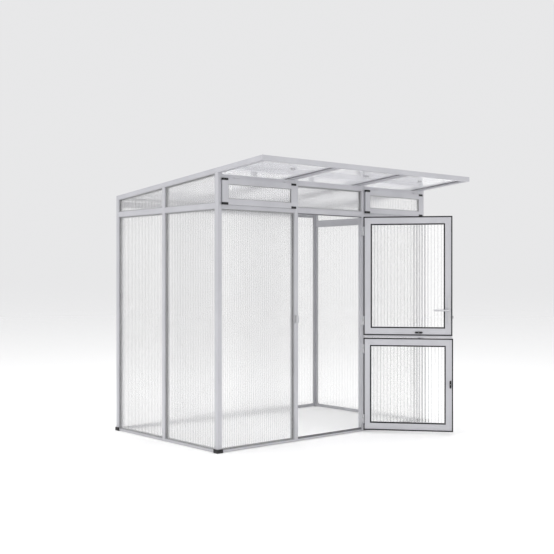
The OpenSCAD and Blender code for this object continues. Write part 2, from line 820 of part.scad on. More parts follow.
// Lever of one side, its neck on the plate; side is 1 inside and -1 outside
module lever(y, side) {
    reach = lever_reach - run_gap;
    socket = reach - 2 * lever_r;
    bar_y = y + side * reach;
    difference() {
        union() {
            translate([lever_x, y, lever_z]) rotate([-90 * side, 0, 0])
                cylinder(r = neck_r, h = reach);
            translate([lever_x, bar_y, lever_z]) rotate([0, 90, 0])
                cylinder(r = lever_r, h = lever_l);
            translate([lever_x, bar_y, lever_z]) sphere(r = lever_r);
            translate([lever_x + lever_l, bar_y, lever_z]) sphere(r = lever_r);
        }
        translate([lever_x, y - side, lever_z]) rotate([-90 * side, 0, 0])
            cylinder(r = spindle_r, h = socket + 1);
    }
}
// Spindle with a lever on each end, both pointing towards the hinges
module lever_handles() {
    low = leaf_out - plate_t - run_gap;
    high = leaf_in + plate_t + run_gap;
    socket = lever_reach - run_gap - 2 * lever_r;
    color("silver") turned() {
        translate([lever_x, high + socket, lever_z]) rotate([90, 0, 0])
            cylinder(r = spindle_r, h = high - low + 2 * socket);
        lever(low, -1);
        lever(high, 1);
    }
}
// Mortice case inside the free stile, open where the spindle and the bolt pass
module lock_case() {
    a = door_x0 - upper_lap + leaf_wall;
    ya = leaf_mid - case_t / 2;
    yb = leaf_mid + case_t / 2;
    color("darkgray") turned() difference() {
        block([a, ya, lever_z - case_below], [a + case_w, yb, lever_z + case_above]);
        block([a + case_wall, ya + case_wall, lever_z - case_below + case_wall],
              [a + case_w - case_wall, yb - case_wall, lever_z + case_above - case_wall]);
        spindle_hole(ya - 1, yb + 1);
        bolt_slot(a - 1, case_w + 2);
    }
}
module latch_bolt() {
    tip = door_x0 - upper_lap - bolt_throw;
    color("darkgray") turned()
        block([tip, leaf_mid - bolt_t / 2, bolt_z - bolt_h / 2],
              [tip + bolt_l, leaf_mid + bolt_t / 2, bolt_z + bolt_h / 2]);
}
// Keeper on the left door post: a hollow block whose pocket takes the bolt
module latch_keeper() {
    b = door_x0 - upper_lap - keeper_gap;
    a = post_x(1) + keeper_in;
    tip = door_x0 - upper_lap - bolt_throw;
    half = bolt_t / 2 + keeper_play;
    out = leaf_mid - half - keeper_wall;
    tall = bolt_h / 2 + 2 * keeper_play;
    color("silver") difference() {
        block([a, out, bolt_z - keeper_h / 2], [b, y0, bolt_z + keeper_h / 2]);
        block([tip - 2 * keeper_play, leaf_mid - half, bolt_z - tall],
              [b + 1, leaf_mid + half, bolt_z + tall]);
    }
}

// ---- Catches ----

// Grip with round ends, its middle on the catch axis, level or upright
module grip(x, z, y, upright) {
    r = catch_w / 2;
    reach = catch_l / 2 - r;
    translate([x, y + grip_t, z]) rotate([90, upright ? 90 : 0, 0]) linear_extrude(grip_t) union() {
        square([2 * reach, catch_w], center = true);
        for (s = [-1, 1]) translate([s * reach, 0]) circle(r);
    }
}
module upper_catch_grip() {
    color("#222222") turned() {
        grip(upper_catch_x, upper_catch_z, tongue_y + tongue_t, false);
        translate([upper_catch_x, tongue_y, upper_catch_z]) rotate([90, 0, 0])
            cylinder(r = hub_r, h = tongue_y - leaf_in - run_gap);
    }
}
// Flat tongue behind the grip: level when free, and pointing down over the lower leaf
module upper_catch_tongue() {
    r = tongue_w / 2;
    color("silver") turned() translate([upper_catch_x, tongue_y + tongue_t, upper_catch_z])
        rotate([90, 0, 0]) linear_extrude(tongue_t) union() {
            translate([0, -r]) square([tongue_l, tongue_w]);
            circle(r);
        }
}
// Long hub that carries the grip behind the left door post
module lower_catch() {
    color("#222222") turned() {
        grip(lower_catch_x, lower_catch_z, catch_behind, true);
        translate([lower_catch_x, catch_behind, lower_catch_z]) rotate([90, 0, 0])
            cylinder(r = hub_r, h = catch_behind - leaf_in - run_gap);
    }
}

module lower_leaf_frame() {
    turned() leaf_frame(lower_lap, lower_z, lower_z + lower_h, lower_hinges);
}
module lower_leaf_glazing() { turned() leaf_sheet(lower_opening); }
module lower_leaf_gasket() { turned() leaf_gasket(lower_opening); }
module lower_leaf_seal() {
    turned() leaf_seal(lower_lap, lower_z, lower_z + lower_h, lower_hinges);
}
module lower_leaf_hinges() {
    turned() for (z = lower_hinges) leaf_hinge(z);
}

foot_pads();
front_left_post();
front_right_post();
rear_left_post();
rear_right_post();
door_post_left();
door_post_right();
side_posts();
rear_posts();
front_base_rails();
side_base_rails();
rear_base_rails();
threshold();
door_stops();
front_transoms();
side_transoms();
front_headers();
rear_headers();
edge_rafters();
inner_rafters();
fascia();
rear_edge_trim();
roof_glazing();
roof_gaskets();
front_glazing();
left_glazing();
right_glazing();
rear_glazing();
wall_gaskets();
glazing_beads();
door_hinge_brackets();
door_hinge_pins();
latch_keeper();
vent_hinge_brackets();
left_vent_frame();
left_vent_glazing();
left_vent_gaskets();
left_vent_caps();
right_vent_frame();
right_vent_glazing();
right_vent_gaskets();
right_vent_caps();
upper_leaf_frame();
upper_leaf_glazing();
upper_leaf_gasket();
upper_leaf_seal();
upper_leaf_hinges();
meeting_strip();
handle_plates();
lever_handles();
lock_case();
latch_bolt();
upper_catch_grip();
upper_catch_tongue();
lower_leaf_frame();
lower_leaf_glazing();
lower_leaf_gasket();
lower_leaf_seal();
lower_leaf_hinges();
lower_catch();
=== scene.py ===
"""Looks of a walk-in garden cabin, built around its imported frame.

The frame gives every place and size. Straight members of the cabin become drawn
profiles with rounded corners and grooves, worked out as a section carried along a line.
Sheets become twin skins with ribs and bowed channels between them, in the places of
their frame nodes. Pressed, cast and moulded parts become softened copies of theirs.
"""

import json
import logging
import math
from collections.abc import Callable, Iterable, Sequence
from dataclasses import dataclass, field
from enum import Enum
from typing import Any

import bmesh
import bpy
import numpy as np
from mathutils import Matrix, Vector

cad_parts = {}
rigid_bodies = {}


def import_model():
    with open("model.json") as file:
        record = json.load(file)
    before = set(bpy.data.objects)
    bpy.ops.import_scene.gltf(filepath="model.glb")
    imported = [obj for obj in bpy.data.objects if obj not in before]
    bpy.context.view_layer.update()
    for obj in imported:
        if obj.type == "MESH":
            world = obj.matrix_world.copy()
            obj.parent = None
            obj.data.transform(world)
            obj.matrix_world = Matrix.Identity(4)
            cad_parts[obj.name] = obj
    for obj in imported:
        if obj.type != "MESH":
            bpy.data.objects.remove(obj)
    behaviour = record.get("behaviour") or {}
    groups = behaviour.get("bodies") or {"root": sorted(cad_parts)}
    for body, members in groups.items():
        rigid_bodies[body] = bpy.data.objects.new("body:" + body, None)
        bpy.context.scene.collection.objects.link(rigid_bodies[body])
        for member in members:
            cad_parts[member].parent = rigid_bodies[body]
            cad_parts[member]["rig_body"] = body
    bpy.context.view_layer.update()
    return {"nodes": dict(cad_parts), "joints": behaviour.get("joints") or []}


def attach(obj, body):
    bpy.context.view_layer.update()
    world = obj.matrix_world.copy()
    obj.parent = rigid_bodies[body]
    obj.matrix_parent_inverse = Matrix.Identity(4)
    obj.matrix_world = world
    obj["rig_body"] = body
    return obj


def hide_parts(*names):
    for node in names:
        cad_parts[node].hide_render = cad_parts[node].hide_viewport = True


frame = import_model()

LOG = logging.getLogger("garden_cabin")
MM = 0.001
ROOF_PITCH = 5.0
UP = (0.0, 0.0, 1.0)
WHITE = (1.0, 1.0, 1.0, 1.0)

Colour = tuple[float, float, float]
Place = tuple[float, float, float]
Points = np.ndarray


class Axis(Enum):
    """Direction that a bar runs in and that its drawing lines follow."""

    X = 0
    Y = 1
    Z = 2


class Slot(Enum):
    """Material slots of the record."""

    ALUMINIUM = "anodised_aluminium"
    SILVER = "silver"
    STEEL = "steel"
    SHEET = "clear_sheet"
    BLACK_RUBBER = "black_rubber"
    GREY_RUBBER = "grey_rubber"
    PLASTIC = "black_plastic"


# ---- Shader graphs -------------------------------------------------------------------


class Value:
    """A number inside a shader graph, with Python's operators for its Math nodes."""

    def __init__(self, graph: "Graph", socket: bpy.types.NodeSocket) -> None:
        """Wraps one output socket.

        Args:
            graph: the graph that holds the socket.
            socket: the output that carries the number.
        """
        self.graph = graph
        self.socket = socket

    def _math(self, operation: str, *terms: "Value | float") -> "Value":
        """A Math node over the given terms."""
        node = self.graph.node("ShaderNodeMath", {"operation": operation}, dict(enumerate(terms)))
        return Value(self.graph, node.outputs[0])

    def __add__(self, other: "Value | float") -> "Value":
        """self + other."""
        return self._math("ADD", self, other)

    def __radd__(self, other: float) -> "Value":
        """other + self."""
        return self._math("ADD", other, self)

    def __sub__(self, other: "Value | float") -> "Value":
        """self - other."""
        return self._math("SUBTRACT", self, other)

    def __rsub__(self, other: float) -> "Value":
        """other - self."""
        return self._math("SUBTRACT", other, self)

    def __mul__(self, other: "Value | float") -> "Value":
        """self * other."""
        return self._math("MULTIPLY", self, other)

    def __rmul__(self, other: float) -> "Value":
        """other * self."""
        return self._math("MULTIPLY", other, self)

    def __truediv__(self, other: "Value | float") -> "Value":
        """self / other."""
        return self._math("DIVIDE", self, other)

    def __rtruediv__(self, other: float) -> "Value":
        """other / self."""
        return self._math("DIVIDE", other, self)

    def between(self, low: float, high: float) -> "Value":
        """Smooth step.

        Args:
            low: the step is 0 below this.
            high: it is 1 above this.

        Returns:
            The share from 0 to 1.
        """
        sockets = {"Value": self, "From Min": low, "From Max": high}
        node = self.graph.node("ShaderNodeMapRange", {"interpolation_type": "SMOOTHSTEP"}, sockets)
        return Value(self.graph, node.outputs[0])


class Graph:
    """A material's or a world's shader graph under construction."""

    def __init__(self, tree: bpy.types.NodeTree) -> None:
        """Empties the tree.

        Args:
            tree: the node tree to fill.
        """
        self.tree = tree
        tree.nodes.clear()

    def node(
        self, kind: str, settings: dict[str, Any] | None = None, sockets: dict[Any, Any] | None = None
    ) -> bpy.types.Node:
        """Adds one node.

        Args:
            kind: the node's type.
            settings: properties that are set first, such as a Math node's operation.
            sockets: a constant, a Value or an output socket for each input, by name or number.

        Returns:
            The new node.
        """
        node = self.tree.nodes.new(kind)
        for name, value in (settings or {}).items():
            setattr(node, name, value)
        for key, value in (sockets or {}).items():
            source = value.socket if isinstance(value, Value) else value
            if isinstance(source, bpy.types.NodeSocket):
                self.tree.links.new(source, node.inputs[key])
            else:
                node.inputs[key].default_value = source
        return node

    def place(self, turn: float = 0.0, scale: Place = (1.0, 1.0, 1.0)) -> bpy.types.NodeSocket:
        """Object coordinates, turned about the upright and then scaled.

        Args:
            turn: angle in degrees that brings a turned piece's length back onto X.
            scale: how often a pattern repeats per metre along X, Y and Z.

        Returns:
            The socket with the scaled place.
        """
        source = self.node("ShaderNodeTexCoord").outputs["Object"]
        if turn:
            angles = (0.0, 0.0, math.radians(turn))
            source = self.node("ShaderNodeMapping", None, {"Vector": source, "Rotation": angles}).outputs[0]
        return self.node("ShaderNodeMapping", None, {"Vector": source, "Scale": scale}).outputs[0]

    def noise(self, place: bpy.types.NodeSocket, detail: float = 2.0, rough: float = 0.5) -> Value:
        """Smooth noise from 0 to 1, one cell per unit of the place."""
        sockets = {"Vector": place, "Scale": 1.0, "Detail": detail, "Roughness": rough}
        return Value(self, self.node("ShaderNodeTexNoise", None, sockets).outputs["Fac"])

    def tint(self, dark: Colour, light: Colour, share: Value) -> bpy.types.NodeSocket:
        """The colour between two tones at a share from 0 to 1."""
        sockets = {"Factor": share, 6: (*dark, 1.0), 7: (*light, 1.0)}
        return self.node("ShaderNodeMix", {"data_type": "RGBA"}, sockets).outputs[2]

    def bump(self, height: Value, depth: float, strength: float = 1.0) -> bpy.types.NodeSocket:
        """The normal of a surface that rises by height times depth, in metres."""
        sockets = {"Height": height, "Distance": depth, "Strength": strength}
        return self.node("ShaderNodeBump", None, sockets).outputs[0]

    def mix(self, share: Any, first: bpy.types.Node, second: bpy.types.Node) -> bpy.types.Node:
        """The first shader where the share is 0, and the second where it is 1."""
        sockets = {0: share, 1: first.outputs[0], 2: second.outputs[0]}
        return self.node("ShaderNodeMixShader", None, sockets)

    def surface(self, **sockets: Any) -> bpy.types.Node:
        """A Principled shader; underscores in the names stand for spaces."""
        named = {key.replace("_", " "): value for key, value in sockets.items()}
        return self.node("ShaderNodeBsdfPrincipled", None, named)

    def finish(self, shader: bpy.types.Node) -> None:
        """Puts a shader on the output."""
        self.node("ShaderNodeOutputMaterial", None, {"Surface": shader.outputs[0]})


def graph_of(name: str) -> tuple[bpy.types.Material, Graph]:
    """Starts a material.

    Args:
        name: the material's name.

    Returns:
        The new material and its empty graph.
    """
    material = bpy.data.materials.new(name)
    material.use_nodes = True
    return material, Graph(material.node_tree)


# ---- Finishes ------------------------------------------------------------------------


@dataclass(frozen=True)
class Anodised:
    """Satin anodised aluminium with the fine lines of its drawing die."""

    along: Axis = Axis.Z
    turn: float = 0.0
    dark: Colour = (0.515, 0.515, 0.545)
    light: Colour = (0.605, 0.605, 0.635)
    metal: float = 0.6
    rough: float = 0.40
    line_pitch: float = 0.6 * MM
    line_length: float = 0.35
    line_depth: float = 0.02 * MM
    cloud_scale: Place = (5.0, 5.0, 2.2)
    dust: Colour = (0.42, 0.40, 0.37)
    dust_share: float = 0.18
    dust_height: float = 0.12

    @property
    def name(self) -> str:
        """Name of the material."""
        turned = f"_turned_{self.turn:.0f}" if self.turn else ""
        return f"anodised_along_{self.along.name.lower()}{turned}"

    def make(self) -> bpy.types.Material:
        """Drawing lines stretched along the bar, slow clouding, and dust near the ground.

        Returns:
            The material.
        """
        material, graph = graph_of(self.name)
        scale = [1 / self.line_pitch] * 3
        scale[self.along.value] = 1 / self.line_length
        lines = graph.noise(graph.place(self.turn, tuple(scale)), 3.0, 0.6)
        clouds = graph.noise(graph.place(self.turn, self.cloud_scale), 3.0)
        height = graph.node("ShaderNodeSeparateXYZ", None, {0: graph.place()}).outputs[2]
        dust = 1 - Value(graph, height).between(0.0, self.dust_height)
        tone = (0.55 * clouds + 0.45 * lines).between(0.25, 0.75)
        metal = graph.tint(self.dark, self.light, tone)
        dusty = {"Factor": self.dust_share * dust * clouds, 6: metal, 7: (*self.dust, 1.0)}
        colour = graph.node("ShaderNodeMix", {"data_type": "RGBA"}, dusty).outputs[2]
        graph.finish(
            graph.surface(
                Base_Color=colour,
                Metallic=self.metal,
                Roughness=self.rough + 0.10 * (lines - 0.5) + 0.14 * dust + 0.06 * (clouds - 0.5),
                Normal=graph.bump(lines, self.line_depth, 0.5),
            )
        )
        return material


@dataclass(frozen=True)
class Brushed:
    """Bright metal of handles, hinges and pins, with short fine scratches."""

    name: str
    tone: Colour = (0.80, 0.80, 0.82)
    rough: float = 0.24
    scratch: Place = (900.0, 900.0, 60.0)
    scratch_depth: float = 0.01 * MM
    wear: float = 38.0
    shade: float = 0.86

    def make(self) -> bpy.types.Material:
        """Scratches along one direction and a slow change of shine from handling.

        Returns:
            The material.
        """
        material, graph = graph_of(self.name)
        scratch = graph.noise(graph.place(0.0, self.scratch), 2.0, 0.7)
        worn = graph.noise(graph.place(0.0, (self.wear,) * 3), 4.0, 0.6)
        shade = tuple(self.shade * c for c in self.tone)
        graph.finish(
            graph.surface(
                Base_Color=graph.tint(shade, self.tone, 0.6 * scratch + 0.4 * worn),
                Metallic=1.0,
                Roughness=self.rough + 0.12 * (worn - 0.5) + 0.08 * (scratch - 0.5),
                Normal=graph.bump(scratch, self.scratch_depth, 0.4),
            )
        )
        return material


@dataclass(frozen=True)
class Moulded:
    """Rubber or plastic: one dark tone with a fine grain and dust in it."""

    name: str
    dark: Colour
    light: Colour
    rough: float
    grain: float = 0.5 * MM
    grain_depth: float = 0.03 * MM
    patch: float = 14.0
    gloss: float = 0.3

    def make(self) -> bpy.types.Material:
        """Fine grain in the normal, and dust that lightens and dulls it in patches.

        Returns:
            The material.
        """
        material, graph = graph_of(self.name)
        grain = graph.noise(graph.place(0.0, (1 / self.grain,) * 3), 2.0)
        patches = graph.noise(graph.place(0.0, (self.patch,) * 3), 4.0, 0.6)
        dust = patches.between(0.45, 0.8)
        graph.finish(
            graph.surface(
                Base_Color=graph.tint(self.dark, self.light, dust),
                Roughness=self.rough + 0.12 * dust + 0.08 * (grain - 0.5),
                Specular_IOR_Level=self.gloss,
                Normal=graph.bump(grain, self.grain_depth, 0.6),
            )
        )
        return material


@dataclass(frozen=True)
class ClearSheet:
    """Extruded polycarbonate: clear and bending light, with a slight white haze."""

    name: str = "clear_fluted_sheet"
    haze: float = 0.03
    index: float = 1.38
    # painted light: how strongly the haze glows, though the sheet is no lamp
    painted_glow: float = 0.24
    tone: Colour = (0.97, 0.97, 0.965)
    rough: float = 0.09
    streak_scale: Place = (240.0, 240.0, 1.2)
    cloud_scale: Place = (2.5, 2.5, 2.0)

    def make(self) -> bpy.types.Material:
        """Clear plastic mixed with a white haze, which streaks and clouds change slowly.

        The haze glows: painted light, an emission that stands in for the light that the skins carry along
        inside them, and that brightens the sheet and what stands near it.
        A shadow ray passes straight through, so that the sheet dims light only a little.

        Returns:
            The material.
        """
        material, graph = graph_of(self.name)
        streaks = graph.noise(graph.place(0.0, self.streak_scale), 2.0)
        clouds = graph.noise(graph.place(0.0, self.cloud_scale), 3.0)
        share = self.haze * (0.55 + 0.5 * clouds + 0.4 * streaks)
        clear = graph.surface(
            Base_Color=WHITE,
            Transmission_Weight=1.0,
            Roughness=self.rough,
            IOR=self.index,
        )
        white = graph.surface(
            Base_Color=(*self.tone, 1.0),
            Roughness=0.5,
            # painted light: the haze's emission
            Emission_Color=(*self.tone, 1.0),
            Emission_Strength=self.painted_glow,
        )
        passing = graph.node("ShaderNodeBsdfTransparent", None, {"Color": WHITE})
        shadow = graph.node("ShaderNodeLightPath").outputs["Is Shadow Ray"]
        graph.finish(graph.mix(shadow, graph.mix(share, clear, white), passing))
        return material


Finish = Anodised | Brushed | Moulded | ClearSheet


class Finishes:
    """Every finish of the cabin, each made once."""

    def __init__(self) -> None:
        """Starts with no material made."""
        self.made: dict[str, bpy.types.Material] = {}

    def get(self, finish: Finish) -> bpy.types.Material:
        """The material of a finish, made at its first use.

        Args:
            finish: the finish.

        Returns:
            Its material, the same one each time.
        """
        if finish.name not in self.made:
            self.made[finish.name] = finish.make()
        return self.made[finish.name]


SILVER = Brushed("satin_silver", (0.62, 0.62, 0.64), 0.38)
STEEL = Brushed("bright_steel", (0.62, 0.62, 0.63), 0.32)
BLACK_RUBBER = Moulded("black_rubber", (0.010, 0.010, 0.011), (0.024, 0.024, 0.024), 0.6)
# painted shade: grey rubber of the door stops, partly a seal's own grey and partly the shade on the stops
# set back in the doorway
GREY_RUBBER = Moulded("grey_rubber", (0.16, 0.16, 0.17), (0.23, 0.23, 0.235), 0.6)
PALE_RUBBER = Moulded("pale_rubber", (0.40, 0.40, 0.41), (0.48, 0.48, 0.485), 0.6)
PLASTIC = Moulded("black_plastic", (0.012, 0.012, 0.013), (0.035, 0.035, 0.035), 0.36)
SHEET = ClearSheet()
RIB = ClearSheet("clear_sheet_rib", haze=0.06, tone=(0.90, 0.90, 0.905), rough=0.10)
# painted light: the roof and door sheets glow more, which brightens them and the parts under and beside them
ROOF_SHEET = ClearSheet("clear_roof_sheet", haze=0.057, painted_glow=0.85, tone=(0.93, 0.93, 0.99), rough=0.04)
DOOR_SHEET = ClearSheet("clear_door_sheet", haze=0.04, painted_glow=0.60, rough=0.02)
# painted shade: the door ribs' dark grey haze stands in for the dark lines that the ribs show by reflecting
# and bending light
DOOR_RIB = ClearSheet("door_rib_painted_shade", haze=0.65, painted_glow=0.0, tone=(0.54, 0.54, 0.55), rough=0.02)


# ---- Mesh tools ----------------------------------------------------------------------


def body_of(node: str) -> str:
    """The body that a frame node rides on."""
    return frame["nodes"][node]["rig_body"]


def solids(node: str) -> list[Points]:
    """The corner points of each separate solid of a frame node.

    Corners at the same place count as one. A corner takes the lowest number among the
    corners of its triangles, again and again, until nothing changes, so that all corners
    of a solid end with one number.

    Args:
        node: the frame node's name.

    Returns:
        One array of points for each solid, from the lowest x, y and z up.
    """
    mesh = frame["nodes"][node].data
    points = np.zeros(len(mesh.vertices) * 3)
    mesh.vertices.foreach_get("co", points)
    points = points.reshape(-1, 3)
    loops = np.zeros(len(mesh.loops), int)
    mesh.loops.foreach_get("vertex_index", loops)
    _, same = np.unique(np.round(points, 6), axis=0, return_inverse=True)
    faces = same.reshape(-1)[loops.reshape(-1, 3)]
    label = np.arange(same.max() + 1)
    while True:
        low = label[faces].min(1)
        new = label.copy()
        np.minimum.at(new, faces.ravel(), np.repeat(low, 3))
        if (new == label).all():
            break
        label = new
    owner = label[same.reshape(-1)]
    groups = [points[owner == k] for k in np.unique(owner)]
    return sorted(groups, key=lambda g: tuple(np.round(g.min(0), 4)))


def new_piece(
    name: str, points: Points, faces: Points | list, body: str, material: bpy.types.Material
) -> bpy.types.Object:
    """Makes a mesh object at the origin that rides on a body.

    Args:
        name: the piece's name.
        points: its corners in metres.
        faces: its faces as rows of corner numbers.
        body: the body that it rides on.
        material: its material.

    Returns:
        The new object.
    """
    mesh = bpy.data.meshes.new(name)
    rows = faces.tolist() if isinstance(faces, np.ndarray) else faces
    mesh.from_pydata(np.asarray(points).tolist(), [], rows)
    mesh.validate()
    mesh.materials.append(material)
    piece = bpy.data.objects.new(name, mesh)
    bpy.context.scene.collection.objects.link(piece)
    smooth(mesh)
    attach(piece, body)
    LOG.info("made %s, which rides on %s", name, body)
    return piece


def close(mesh: bpy.types.Mesh) -> None:
    """Merges corners at one place and turns every face outwards.

    Args:
        mesh: the mesh of a closed shell.
    """
    shell = bmesh.new()
    shell.from_mesh(mesh)
    bmesh.ops.remove_doubles(shell, verts=shell.verts, dist=0.001 * MM)
    bmesh.ops.recalc_face_normals(shell, faces=shell.faces)
    shell.to_mesh(mesh)
    shell.free()
    smooth(mesh)


def door_turn() -> float:
    """How far the leaves stand open, in degrees."""
    joint = next(j for j in frame["joints"] if j["name"] == "upper_leaf_hinge")
    return -joint["range_deg"][0]


def door_directions() -> Points:
    """The leaves' directions as they stand open: over their width, out of the cabin, and up."""
    turn = math.radians(door_turn())
    return np.array([(math.cos(turn), math.sin(turn), 0.0), (math.sin(turn), -math.cos(turn), 0.0), UP])


def smooth(mesh: bpy.types.Mesh, angle: float = 32.0) -> None:
    """Smooth shading, with edges sharper than the angle kept."""
    mesh.shade_smooth()
    mesh.set_sharp_from_angle(angle=math.radians(angle))


def add_bevel(piece: bpy.types.Object, width: float, segments: int = 2) -> None:
    """Rounds a piece's sharp edges.

    Args:
        piece: the piece.
        width: width of the rounding in metres.
        segments: steps of the rounding.
    """
    bevel = piece.modifiers.new("soft_edges", "BEVEL")
    bevel.width = width
    bevel.segments = segments
    bevel.limit_method = "ANGLE"
    bevel.angle_limit = math.radians(40)
    bevel.use_clamp_overlap = True
    bevel.harden_normals = True


def softened(
    node: str, width: float, material: bpy.types.Material, segments: int = 2
) -> bpy.types.Object:
    """A copy of a frame node with its corners merged and its edges rounded, in its place.

    Args:
        node: the frame node's name.
        width: width of the rounding in metres.
        material: the copy's material.
        segments: steps of the rounding.

    Returns:
        The copy, which stands for the node.
    """
    shell = bmesh.new()
    shell.from_mesh(frame["nodes"][node].data)
    bmesh.ops.remove_doubles(shell, verts=shell.verts, dist=0.005 * MM)
    bmesh.ops.dissolve_limit(shell, angle_limit=math.radians(0.5), verts=shell.verts, edges=shell.edges)
    mesh = bpy.data.meshes.new(node + "_soft")
    shell.to_mesh(mesh)
    shell.free()
    mesh.materials.append(material)
    piece = bpy.data.objects.new(node + "_soft", mesh)
    bpy.context.scene.collection.objects.link(piece)
    smooth(mesh)
    add_bevel(piece, width, segments)
    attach(piece, body_of(node))
    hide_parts(node)
    LOG.info("softened %s, which rides on %s", node, body_of(node))
    return piece


@dataclass(frozen=True)
class SoftPart:
    """A frame node that keeps its shape, with its edges rounded by a width."""

    node: str
    width: float
    slot: Slot
    finish: Finish
    segments: int = 2

    def build(self, finishes: Finishes) -> None:
        """Makes the softened copy."""
        softened(self.node, self.width, finishes.get(self.finish), self.segments)


def paint(
    piece: bpy.types.Object, material: bpy.types.Material, chosen: Callable[[Points, Points], Points]
) -> None:
    """Gives some faces of a piece a second material.

    Args:
        piece: the piece.
        material: the second material.
        chosen: tells from the faces' middles and normals which ones get it.
    """
    polygons = piece.data.polygons
    centres, normals = np.zeros(3 * len(polygons)), np.zeros(3 * len(polygons))
    polygons.foreach_get("center", centres)
    polygons.foreach_get("normal", normals)
    picked = chosen(centres.reshape(-1, 3), normals.reshape(-1, 3))
    piece.data.materials.append(material)
    polygons.foreach_set("material_index", picked.astype(np.int32))


# ---- Drawn profiles ------------------------------------------------------------------


@dataclass(frozen=True)
class Profile:
    """Section of a drawn bar: a rectangle with round corners and two grooves a side."""

    corner: float = 2.2 * MM
    groove_w: float = 1.6 * MM
    groove_depth: float = 0.7 * MM
    groove_in: float = 8.0 * MM
    wall: float = 2.0 * MM
    corner_steps: int = 4

    def side(self, length: float) -> Points:
        """One side of the outline, from its start along +u, its outside towards -v.

        Args:
            length: length of the side, corner to corner.

        Returns:
            Points [u, v]: the side's straight with its grooves, without the corners.
        """
        half = self.groove_w / 2
        places = [self.groove_in, length - self.groove_in] if length > 5 * self.groove_in / 2 else []
        steps = [(-half, 0.0), (-half / 2, self.groove_depth), (half / 2, self.groove_depth), (half, 0.0)]
        inner = [(place + du, dv) for place in places for du, dv in steps]
        return np.array([(self.corner, 0.0), *inner, (length - self.corner, 0.0)])

    def outline(self, width: float, height: float) -> Points:
        """The outline, counter-clockwise about its centre.

        Each side is followed by the arc of its corner: the corner's centre plus its
        radius times (sin a, -cos a) for a from 0 to a quarter turn, all turned with the side.

        Args:
            width: size across u.
            height: size across v.

        Returns:
            Points [u, v] of the closed outline.
        """
        angles = np.linspace(0, math.pi / 2, self.corner_steps + 1)[1:-1]
        parts = []
        for k in range(4):
            along, across = (width, height) if k % 2 == 0 else (height, width)
            side = self.side(along)
            arc = np.column_stack([
                along - self.corner + self.corner * np.sin(angles),
                self.corner - self.corner * np.cos(angles),
            ])
            run = np.vstack([side, arc]) - (along / 2, across / 2)
            turn = k * math.pi / 2
            rotation = np.array([[math.cos(turn), math.sin(turn)], [-math.sin(turn), math.cos(turn)]])
            parts.append(run @ rotation)
        return np.vstack(parts)


@dataclass(frozen=True)
class Bar:
    """A straight hollow bar between two corners of a box.

    lean is the rise of the whole bar per metre of Y, for a rafter, and top_lean the rise
    of its far end only, for a post whose top follows the roof.
    """

    low: Place
    high: Place
    along: Axis
    lean: float = 0.0
    top_lean: float = 0.0
    profile: Profile = field(default_factory=Profile)

    def mesh(self) -> tuple[Points, Points]:
        """The bar's shell.

        The outline, and a smaller one inside it, are placed at both ends of the bar. Quads
        join the two ends of each outline, and close each end between the outlines.

        Returns:
            The corners and the four-cornered faces.
        """
        low, high = np.array(self.low), np.array(self.high)
        axis = self.along.value
        u, v = [(1, 2), (2, 0), (0, 1)][axis]
        size = high - low
        outer = self.profile.outline(size[u], size[v])
        inner = outer * (1 - 2 * self.profile.wall / size[[u, v]])
        rings = []
        for section, end in [(outer, low), (outer, high), (inner, high), (inner, low)]:
            ring = np.zeros((len(section), 3))
            ring[:, u] = section[:, 0] + (low[u] + high[u]) / 2
            ring[:, v] = section[:, 1] + (low[v] + high[v]) / 2
            ring[:, axis] = end[axis]
            if end is high:
                ring[:, 2] += self.top_lean * (ring[:, 1] - low[1])
            ring[:, 2] += self.lean * (ring[:, 1] - low[1])
            rings.append(ring)
        n = len(outer)
        first = np.arange(n)
        after = (first + 1) % n
        faces = [
            np.column_stack([k * n + first, k * n + after, (k + 1) % 4 * n + after, (k + 1) % 4 * n + first])
            for k in range(4)
        ]
        return np.vstack(rings), np.vstack(faces)


def joined(meshes: Iterable[tuple[Points, Points]]) -> tuple[Points, Points]:
    """Several meshes of four-cornered faces as one.

    Args:
        meshes: the corners and the faces of each.

    Returns:
        The corners and the faces of all of them.
    """
    points, faces, start = [], [], 0
    for corners, quads in meshes:
        points.append(corners)
        faces.append(quads + start)
        start += len(corners)
    return np.vstack(points), np.vstack(faces)


def bars_of(node: str, along: Axis, profile: Profile) -> list[Bar]:
    """The bars of a frame node, one for each of its solids.

    A post's top follows the roof: its front and rear edges end at different heights. A
    rafter leans as a whole: its underside starts and ends at different heights.

    Args:
        node: the frame node's name.
        along: the axis that its bars run along.
        profile: their section.

    Returns:
        One Bar for each solid.
    """
    bars = []
    for points in solids(node):
        low, high = points.min(0), points.max(0)
        front = points[points[:, 1] < low[1] + 0.1 * MM, 2]
        rear = points[points[:, 1] > high[1] - 0.1 * MM, 2]
        fall = (rear.max() - front.max()) / (high[1] - low[1])
        if along is Axis.Z:
            bars.append(Bar(tuple(low), (high[0], high[1], front.max()), along, 0.0, fall, profile))
        else:
            start = (low[0], low[1], front.min())
            stop = (high[0], high[1], front.max())
            bars.append(Bar(start, stop, along, fall, 0.0, profile))
    return bars


# ---- Fluted sheets -------------------------------------------------------------------


